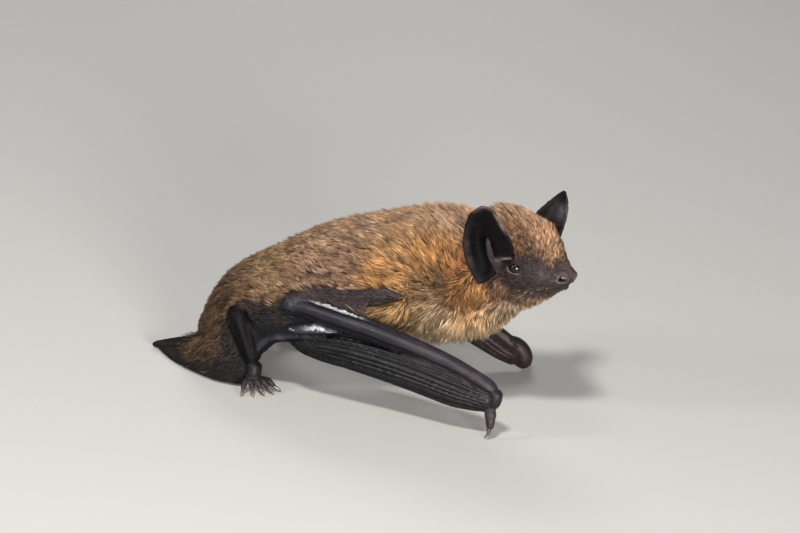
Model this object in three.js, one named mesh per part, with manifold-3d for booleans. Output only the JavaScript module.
// A small vesper bat at rest on all fours: the forebody is raised on folded wings, the head is
// turned to the right, and the rump, tail and tail membrane lie on the floor.
// Millimetres, +Z up, the animal facing +X, its left side at +Y. Every solid reaches out to the tips
// of the coat, and neighbours are parted by a thin cut.
import * as THREE from "three";
import { mergeVertices } from "three/addons/utils/BufferGeometryUtils.js";
import Module from "manifold-3d";

const wasm = await Module();
wasm.setup();

// ---------------------------------------------------------------- driving dimensions
const GAP = 0.15; // cut between neighbouring parts
const FOREARM = 31; // elbow to wrist
const MEMBRANE = 0.55; // thickness of the skin sheets
const EAR_WALL = 0.55;
const EAR_HALF_WIDTH = 3.45;
const EYE_RADIUS = 0.85;
const HEAD_YAW = THREE.MathUtils.degToRad(30); // the head looks to the animal's right
const SIDES = { right: -1, left: 1 };

const UP = new THREE.Vector3(0, 0, 1);
const point = (x, y, z) => new THREE.Vector3(x, y, z);
const mix = THREE.MathUtils.lerp;

// ---------------------------------------------------------------- the head's own frame
// Origin midway between the ear roots; forward runs to the nose, left to the left ear.
const HEAD = point(20.4, -2.8, 22);
const FORWARD = point(Math.cos(HEAD_YAW), -Math.sin(HEAD_YAW), 0);
const LEFT = point(Math.sin(HEAD_YAW), Math.cos(HEAD_YAW), 0);
const inHead = (forward, left, up) =>
  HEAD.clone().addScaledVector(FORWARD, forward).addScaledVector(LEFT, left).addScaledVector(UP, up);

// ---------------------------------------------------------------- places of the limbs
const WRIST = { right: point(20.4, -13, 6.5), left: point(20.9, 13, 2.5) };
const ARM_LINE = { right: point(-29.6, 4, 6.9), left: point(-26, -4.8, 15) }; // wrist to elbow
const ARM_BOW = 1; // how far the forearm arches above that line
const ELBOW = Object.fromEntries(
  Object.keys(SIDES).map((side) => [
    side,
    WRIST[side].clone().addScaledVector(ARM_LINE[side].clone().normalize(), FOREARM),
  ]),
);
const SHOULDER = { right: point(5, -7.9, 15.6), left: point(6, 7.4, 18.2) };
const KNEE = { right: point(-16, -8.4, 10.4), left: point(-15.8, 8.2, 9.6) };
const ANKLE = { right: point(-12.7, -8.9, 3.5), left: point(-12.4, 9.2, 3.2) };
const HIP = point(-12.5, 3.2, 8); // left one; the right one is its mirror image
const TAIL_ROOT = point(-20.8, 0, 2.4);
const TAIL_TIP = point(-28.6, 0, 0.5);

// ---------------------------------------------------------------- shaping tools
// A solid from a three.js geometry.
function solidOf(geometry) {
  const bare = geometry.clone();
  bare.deleteAttribute("normal");
  bare.deleteAttribute("uv");
  const merged = mergeVertices(bare, 1e-4);
  return new wasm.Manifold(
    new wasm.Mesh({
      numProp: 3,
      vertProperties: new Float32Array(merged.attributes.position.array),
      triVerts: new Uint32Array(merged.index.array),
    }),
  );
}

// A closed, round-ended body along a smooth curve. sizes holds [half width, height above, depth
// below] at each point of the path, and ends the share of the length that each end takes to close.
function tapered({ path, sizes, ends = [0.1, 0.1], up = UP, around = 14, along = 12, swell }, grow = 0) {
  const line = new THREE.CatmullRomCurve3(path, false, "catmullrom", 0.5);
  const size = new THREE.CatmullRomCurve3(sizes.map((s) => point(...s)), false, "catmullrom", 0.5);
  const shape = new THREE.SphereGeometry(1, around, along);
  const places = shape.attributes.position;
  const at = new THREE.Vector3();
  for (let i = 0; i < places.count; i++) {
    at.fromBufferAttribute(places, i);
    const t = THREE.MathUtils.clamp((1 + at.y) / 2, 0, 1);
    const ring = Math.hypot(at.x, at.z) || 1;
    const [across, rise] = [at.x / ring, at.z / ring];
    const tangent = line.getTangent(t);
    const side = tangent.clone().cross(up).normalize();
    const top = side.clone().cross(tangent);
    const [width, above, below] = size.getPoint(t).toArray();
    const close = ring < 1e-6 ? 0 : closing(t, ends);
    const bulge = swell ? swell(t, across, rise) : 1;
    at.copy(line.getPoint(t))
      .addScaledVector(tangent, grow * (2 * t - 1))
      .addScaledVector(side, (width * bulge + grow) * close * across)
      .addScaledVector(top, ((rise > 0 ? above : below) * bulge + grow) * close * rise);
    places.setXYZ(i, at.x, at.y, at.z);
  }
  return solidOf(shape);
}

// The share of the full section that a round-ended body has at t.
function closing(t, [start, finish]) {
  const left = Math.min(1, t / start);
  const right = Math.min(1, (1 - t) / finish);
  return Math.sqrt(1 - (1 - left) ** 2) * Math.sqrt(1 - (1 - right) ** 2);
}

// A sheet of skin over surface(u, v), with u and v from 0 to 1.
function sheet({ surface, thickness, span, columns = 8, rows = 8 }, grow = 0) {
  const shape = new THREE.BoxGeometry(1, 1, 1, columns, rows, 1);
  const places = shape.attributes.position;
  const reach = 1 + (2 * grow) / span;
  const step = 0.01;
  for (let i = 0; i < places.count; i++) {
    const u = 0.5 + places.getX(i) * reach;
    const v = 0.5 + places.getY(i) * reach;
    const here = surface(u, v);
    const du = surface(u + step, v).sub(surface(u - step, v));
    const dv = surface(u, v + step).sub(surface(u, v - step));
    const normal = du.cross(dv).normalize();
    here.addScaledVector(normal, places.getZ(i) * (thickness + 2 * grow));
    places.setXYZ(i, here.x, here.y, here.z);
  }
  return solidOf(shape);
}

// A four-cornered surface: a and b are the ends of the first edge, c and d those of the last,
// and sag lifts its middle off the flat.
const patch = (a, b, c, d, sag = point(0, 0, 0)) => (u, v) =>
  a.clone().lerp(b, u).lerp(c.clone().lerp(d, u), v)
    .addScaledVector(sag, Math.max(0, 16 * u * (1 - u) * v * (1 - v)));

// A block between two corners, given in the head's frame or, without one, in the animal's.
function block(low, high, place = (x, y, z) => point(x, y, z)) {
  const shape = new THREE.BoxGeometry(1, 1, 1);
  const places = shape.attributes.position;
  for (let i = 0; i < places.count; i++) {
    const corner = place(
      mix(low[0], high[0], places.getX(i) + 0.5),
      mix(low[1], high[1], places.getY(i) + 0.5),
      mix(low[2], high[2], places.getZ(i) + 0.5),
    );
    places.setXYZ(i, corner.x, corner.y, corner.z);
  }
  return solidOf(shape);
}

// ---------------------------------------------------------------- the parts' shapes
// Trunk and neck are one body, from the root of the tail to inside the head.
const TORSO = {
  path: [
    point(-21.6, 0, 2.2), point(-19.5, 0, 5), point(-15.4, 0, 8.5), point(-9, 0, 11.6),
    point(-1.5, 0, 14.4), point(6, 0, 16.8), point(12.5, -0.5, 18.2), point(21.6, -3.3, 18),
  ],
  sizes: [
    [3, 1.8, 2.4], [4.8, 3.3, 5.8], [6.3, 5.9, 7.8], [7, 7.3, 6.9], [7.4, 8.7, 8.2],
    [7.6, 8.8, 9.3], [7.5, 8.6, 10.8], [5.8, 6.2, 7.9],
  ],
  ends: [0.12, 0.11],
  around: 22,
  along: 17,
};

const SKULL = {
  path: [
    inHead(-6.4, 0, -1.2), inHead(-3.2, 0, -0.4), inHead(0, 0, -0.3), inHead(2.8, 0, -0.7),
    inHead(5.2, 0, -0.9), inHead(7.2, 0, -0.7), inHead(9.2, 0, -0.3),
  ],
  sizes: [
    [5.6, 5.6, 6.6], [6.2, 6.8, 7.8], [5.3, 6.6, 7.5], [4.7, 5.6, 6.4], [3.8, 3.6, 4.4],
    [3, 1.7, 2.7], [2, 1.3, 1.6],
  ],
  ends: [0.2, 0.12],
  around: 20,
  along: 16,
};

function eyeball(sign, grow = 0) {
  const shape = new THREE.SphereGeometry(EYE_RADIUS + grow, 10, 8);
  return solidOf(shape.translate(...inHead(2.45, sign * 4.4, -0.15).toArray()));
}

// The outer ear is a cupped leaf on a line from root to tip. It opens outwards by the angle turn.
const EARS = {
  right: { root: [-0.1, -5.8, -2.9], tip: [-2.2, -6.9, 7.7], turn: THREE.MathUtils.degToRad(33) },
  left: { root: [-0.4, 5.6, -2.9], tip: [0.2, 7.8, 7.7], turn: THREE.MathUtils.degToRad(15) },
};
const EAR_WIDEST = 0.42; // share of the height at which the ear is widest

function earSurface(side) {
  const sign = SIDES[side];
  const { root, tip, turn } = EARS[side];
  const foot = inHead(...root);
  const rise = inHead(...tip).sub(foot);
  const open = inHead(Math.cos(turn), sign * Math.sin(turn), 0).sub(HEAD);
  const back = rise.clone().cross(open).normalize().multiplyScalar(sign);
  const out = back.clone().cross(rise).normalize().multiplyScalar(sign);
  return (u, v) => {
    const across = 2 * u - 1;
    const level = (v - EAR_WIDEST) / (v > EAR_WIDEST ? 1 - EAR_WIDEST : EAR_WIDEST + 0.1);
    const outline = Math.sqrt(Math.max(0.015, 1 - level ** 2)) * (1 - 0.13 * Math.abs(level));
    const curl = mix(1.35, 0.6, THREE.MathUtils.clamp(v, 0, 1));
    const radius = (EAR_HALF_WIDTH * outline) / Math.sin(curl);
    return foot.clone()
      .addScaledVector(rise, v)
      .addScaledVector(back, radius * Math.sin(across * curl))
      .addScaledVector(out, radius * (Math.cos(curl) - Math.cos(across * curl)));
  };
}

const ear = (side) => ({ surface: earSurface(side), thickness: EAR_WALL, span: 9, columns: 6, rows: 7 });

// The closed mouth's line runs from its corner to the chin. Both are [forward, up].
const MOUTH_CORNER = [2.4, -4.1];
const CHIN = [9, -1.9];
const mouthLine = (forward) =>
  mix(MOUTH_CORNER[1], CHIN[1], (forward - MOUTH_CORNER[0]) / (CHIN[0] - MOUTH_CORNER[0]));
const jawBlock = (grow) =>
  block([MOUTH_CORNER[0] - grow, -8, -12], [14, 8, grow], (f, l, u) => inHead(f, l, u + mouthLine(f)));

const upperArm = (side) => ({
  path: [SHOULDER[side], SHOULDER[side].clone().lerp(ELBOW[side], 0.5), ELBOW[side]],
  sizes: [[0.9, 0.9, 0.9], [1.05, 1.2, 1.2], [1, 1.1, 1.1]],
  ends: [0.12, 0.06],
  around: 10,
  along: 8,
});

const alongArm = (side, t) =>
  ELBOW[side].clone().lerp(WRIST[side], t).add(point(0, 0, 4 * ARM_BOW * t * (1 - t)));
const forearm = (side) => ({
  path: [0, 0.2, 0.5, 0.8, 1].map((t) => alongArm(side, t)),
  sizes: [[1.1, 1.2, 1.2], [1.5, 1.6, 1.5], [1.4, 1.5, 1.4], [1.2, 1.3, 1.1], [1, 1.2, 1]],
  ends: [0.05, 0.05],
  around: 10,
  along: 10,
});

// The folded fingers and their membrane hang under the forearm as one pleated blade. HANG is how
// far its middle lies below the forearm's, from the wrist to the elbow.
const FOLDS = 3;
const HANG = { right: [1.8, 3.2, 3.8, 4], left: [0.7, 2, 2.8, 3.2] };
function handWing(side) {
  const out = (width) => SIDES[side] * width;
  const place = (t, drop, width) => alongArm(side, 1 - t).add(point(0, out(width), -drop));
  const [wrist, distal, middle, elbow] = HANG[side];
  return {
    path: [
      place(0.02, wrist, 0.1),
      place(0.3, distal, 0.3),
      place(0.66, middle, 0.4),
      place(1.02, elbow, 0.2),
    ],
    sizes: [[0.85, 1.2, 1.3], [1.15, 2, 1.9], [1.3, 2.3, 2.3], [0.9, 1.7, 1.5]],
    ends: [0.05, 0.1],
    around: 18,
    along: 8,
    swell: (t, across, rise) => 1 + 0.07 * Math.cos(FOLDS * 2 * Math.atan2(rise, across)),
  };
}

// The wrist stands on its end, and the thumb leaves it below. Both are placed from the wrist's centre.
const fromWrist = (side, x, y, z) => WRIST[side].clone().add(point(x, SIDES[side] * y, z));
const DROP = { right: 3.2, left: 2 }; // from the wrist's centre to its underside
const carpus = (side) => ({
  path: [
    fromWrist(side, 0.5, 0, 0.9),
    fromWrist(side, 0.1, 0, -0.8),
    fromWrist(side, -0.5, 0, -DROP[side]),
  ],
  sizes: [[1.1, 1.1, 1.1], [1.3, 1.4, 1.4], [1, 0.9, 0.9]],
  ends: [0.25, 0.25],
  up: point(1, 0, 0),
  around: 12,
  along: 8,
});

// The right thumb hangs down to the floor. The left one lies on it, pointing outwards.
const THUMB = {
  right: [[-0.5, 0.3, -2.5], [-0.3, 0.8, -4.2], [-0.3, 0.9, -5.1]],
  left: [[0.1, 0.6, -1.5], [0.3, 1.9, -1.5], [0.5, 2.6, -1.5]],
};
const THUMB_CLAW = {
  right: [[-0.3, 0.9, -4.9], [-0.4, 1, -5.7], [-0.9, 0.9, -6.38]],
  left: [[0.5, 2.5, -1.4], [0.6, 3.2, -1.6], [0.4, 3.8, -2.25]],
};
const digit = (side, places) => places.map((place) => fromWrist(side, ...place));
const thumb = (side) => ({
  path: digit(side, THUMB[side]),
  sizes: [[0.8, 0.8, 0.8], [0.6, 0.6, 0.6], [0.5, 0.5, 0.5]],
  ends: [0.15, 0.25],
  up: point(1, 0, 0.2),
  around: 8,
  along: 6,
});
const claw = (path, radius) => ({
  path,
  sizes: [[radius, radius, radius], [radius * 0.8, radius * 0.8, radius * 0.8], [0.12, 0.12, 0.12]],
  ends: [0.15, 0.15],
  up: point(0.3, 0.2, 1),
  around: 6,
  along: 5,
});

const thigh = (side) => ({
  path: [
    point(HIP.x, SIDES[side] * HIP.y, HIP.z),
    point(-14.4, SIDES[side] * 6.2, 9.6),
    KNEE[side],
  ],
  sizes: [[2, 2, 2], [1.7, 1.7, 1.7], [1.2, 1.2, 1.2]],
  ends: [0.1, 0.14],
  around: 10,
  along: 6,
});
const shin = (side) => ({
  path: [
    KNEE[side].clone().add(point(-0.1, 0, 0.4)),
    KNEE[side].clone().lerp(ANKLE[side], 0.5),
    ANKLE[side],
  ],
  sizes: [[1.25, 1.25, 1.25], [1.2, 1.15, 1.15], [0.8, 0.85, 0.85]],
  ends: [0.14, 0.1],
  up: point(1, 0, 0),
  around: 10,
  along: 8,
});

// Five toes fan out from the ball of the foot, the inner one pointing forwards.
const TOES = [1, 2, 3, 4, 5];
const TOE_LENGTH = 2.5;
const TOE_FIRST = THREE.MathUtils.degToRad(-2);
const TOE_SPREAD = THREE.MathUtils.degToRad(23);
const fromAnkle = (side, x, y, z) => ANKLE[side].clone().add(point(x, SIDES[side] * y, z));
function toe(side, number) {
  const rank = number - 1;
  const turn = TOE_FIRST + TOE_SPREAD * rank;
  const aim = point(Math.cos(turn), SIDES[side] * Math.sin(turn), 0);
  const ball = fromAnkle(side, 1.1 - 0.42 * rank, 0.1 + 0.22 * rank, -1.9);
  const reach = (share, height) => {
    const there = ball.clone().addScaledVector(aim, TOE_LENGTH * share);
    there.z = height;
    return there;
  };
  return {
    flesh: [reach(-0.15, 1.3), reach(0.38, 1.5), reach(0.84, 0.6)],
    nail: [reach(0.78, 0.68), reach(1.02, 0.5), reach(1.2, 0.08)],
  };
}
const toeFlesh = (side, number) => ({
  path: toe(side, number).flesh,
  sizes: [[0.42, 0.42, 0.42], [0.42, 0.42, 0.42], [0.34, 0.34, 0.34]],
  ends: [0.15, 0.2],
  around: 6,
  along: 5,
});
const sole = (side) => ({
  path: [fromAnkle(side, -0.1, 0, 0.1), fromAnkle(side, 0.2, 0.35, -1.9)],
  sizes: [[0.85, 0.8, 0.8], [1.3, 0.75, 0.75]],
  ends: [0.25, 0.3],
  up: point(1, 0, 0),
  around: 8,
  along: 6,
});

const tail = {
  path: [0, 0.35, 0.7, 1].map((t) => TAIL_ROOT.clone().lerp(TAIL_TIP, t)),
  sizes: [[1.5, 1.4, 1.4], [1, 0.95, 0.95], [0.75, 0.7, 0.7], [0.45, 0.45, 0.45]],
  ends: [0.1, 0.12],
  around: 10,
  along: 8,
};

// The tail membrane slopes from the tail and the rump to a free edge that lies on the floor.
function tailMembrane(side) {
  const sign = SIDES[side];
  const lift = MEMBRANE / 2;
  const tip = TAIL_ROOT.clone().lerp(TAIL_TIP, 0.82).add(point(0, sign * 0.4, -0.4));
  const heel = ANKLE[side].clone().add(point(-1.2, 0, -2.6));
  return {
    surface: (u, v) => {
      const top = TAIL_ROOT.clone().add(point(2.6, sign * 3.6, 2.6)).lerp(tip, u);
      const foot = point(heel.x, heel.y, lift).lerp(point(tip.x, sign * 0.7, lift), u);
      foot.y += sign * 1.7 * Math.sin(Math.PI * THREE.MathUtils.clamp(u, 0, 1));
      foot.x -= 1.6 * Math.sin(Math.PI * THREE.MathUtils.clamp(u, 0, 1));
      return top.lerp(foot, sign > 0 ? 1 - v : v).add(point(0, 0, -0.8 * Math.sin(Math.PI * v)));
    },
    thickness: MEMBRANE,
    span: 9,
    columns: 6,
    rows: 4,
  };
}

const flankMembrane = (side) => {
  const sign = SIDES[side];
  const elbow = ELBOW[side];
  const low = HANG[side][3] + 1.2;
  return {
    surface: patch(
      KNEE[side].clone().add(point(0.9, -sign * 0.6, -0.8)),
      elbow.clone().add(point(0.6, -sign * 0.8, -1.4)),
      ANKLE[side].clone().add(point(0.5, -sign * 0.2, 0.6)),
      elbow.clone().add(point(2, -sign * 0.1, -low)),
      point(0.4, -sign * 0.7, 0.9),
    ),
    thickness: MEMBRANE,
    span: 6,
    columns: 4,
    rows: 4,
  };
};

const shoulderMembrane = (side) => {
  const [shoulder, elbow, wrist] = [SHOULDER[side], ELBOW[side], WRIST[side]];
  return {
    surface: patch(
      elbow.clone().lerp(shoulder, 0.12),
      elbow.clone().lerp(wrist, 0.1),
      elbow.clone().lerp(shoulder, 0.96),
      elbow.clone().lerp(wrist, 0.42),
      point(0, 0, -0.4),
    ),
    thickness: MEMBRANE,
    span: 8,
    columns: 4,
    rows: 6,
  };
};

// ---------------------------------------------------------------- cutting the parts from each other
const bat = new THREE.Group();
const placed = []; // the shapes of the parts added so far, each a function of grow
const floor = block([-60, -60, -20], [60, 60, 0]);

const MATERIALS = {
  fur: new THREE.MeshStandardMaterial({ color: "#9c7040", roughness: 0.85, metalness: 0 }),
  skin: new THREE.MeshStandardMaterial({ color: "#1d1918", roughness: 0.5, metalness: 0 }),
  ear: new THREE.MeshStandardMaterial({ color: "#241c1b", roughness: 0.6, metalness: 0 }),
  eye: new THREE.MeshStandardMaterial({ color: "#080606", roughness: 0.08, metalness: 0 }),
  claw: new THREE.MeshStandardMaterial({ color: "#6d6256", roughness: 0.35, metalness: 0 }),
};

// Whether two solids' boxes meet.
function near(a, b) {
  const [p, q] = [a.boundingBox(), b.boundingBox()];
  return [0, 1, 2].every((k) => p.min[k] <= q.max[k] && q.min[k] <= p.max[k]);
}

// Adds a part, cut by the floor and by every part placed before it. shape(grow) builds it, a
// little larger all round where grow is given. The largest body that the cuts leave is the part.
function add(name, material, shape) {
  let solid = shape(0).subtract(floor);
  for (const other of placed) {
    const cutter = other(GAP);
    if (near(solid, cutter)) solid = solid.subtract(cutter);
  }
  const bodies = solid.decompose();
  const body = bodies.reduce((most, b) => (b.volume() > most.volume() ? b : most));
  placed.push(shape);
  const { vertProperties, triVerts } = body.getMesh();
  const geometry = new THREE.BufferGeometry();
  geometry.setAttribute("position", new THREE.BufferAttribute(new Float32Array(vertProperties), 3));
  geometry.setIndex(new THREE.BufferAttribute(new Uint32Array(triVerts), 1));
  geometry.computeVertexNormals();
  const mesh = new THREE.Mesh(geometry, MATERIALS[material]);
  mesh.name = name;
  bat.add(mesh);
}

const from = (spec) => (grow) => tapered(spec, grow);
const fromSheet = (spec) => (grow) => sheet(spec, grow);
const NECK_CUT = 12.6; // the neck begins this far along X

for (const [side, sign] of Object.entries(SIDES)) add(`eye_${side}`, "eye", (grow) => eyeball(sign, grow));
add("lower_jaw", "fur", (grow) => tapered(SKULL, grow).intersect(jawBlock(grow)));
add("head", "fur", from(SKULL));
for (const side of Object.keys(SIDES)) add(`ear_${side}`, "ear", fromSheet(ear(side)));
add("neck", "fur", (grow) =>
  tapered(TORSO, grow).intersect(block([NECK_CUT - grow, -20, -20], [40, 20, 60])));
add("trunk", "fur", from(TORSO));
add("tail", "skin", from(tail));
for (const side of Object.keys(SIDES)) {
  add(`upper_arm_${side}`, "skin", from(upperArm(side)));
  add(`wrist_${side}`, "skin", from(carpus(side)));
  add(`forearm_${side}`, "skin", from(forearm(side)));
  add(`folded_hand_wing_${side}`, "skin", from(handWing(side)));
  add(`thumb_${side}`, "skin", from(thumb(side)));
  add(`thumb_claw_${side}`, "claw", from(claw(digit(side, THUMB_CLAW[side]), 0.36)));
  add(`shin_${side}`, "skin", from(shin(side)));
  add(`thigh_${side}`, "fur", from(thigh(side)));
  add(`foot_${side}`, "skin", (grow) =>
    TOES.reduce((foot, n) => foot.add(tapered(toeFlesh(side, n), grow)), tapered(sole(side), grow)));
  for (const n of TOES) add(`toe_claw_${side}_${n}`, "claw", from(claw(toe(side, n).nail, 0.3)));
  add(`tail_membrane_${side}`, "skin", fromSheet(tailMembrane(side)));
  add(`flank_membrane_${side}`, "skin", fromSheet(flankMembrane(side)));
  add(`shoulder_membrane_${side}`, "skin", fromSheet(shoulderMembrane(side)));
}

// The origin is the middle of the bounding box's underside.
const box = new THREE.Box3().setFromObject(bat);
const middle = box.getCenter(new THREE.Vector3());
bat.position.set(-middle.x, -middle.y, -box.min.z);

export default bat;
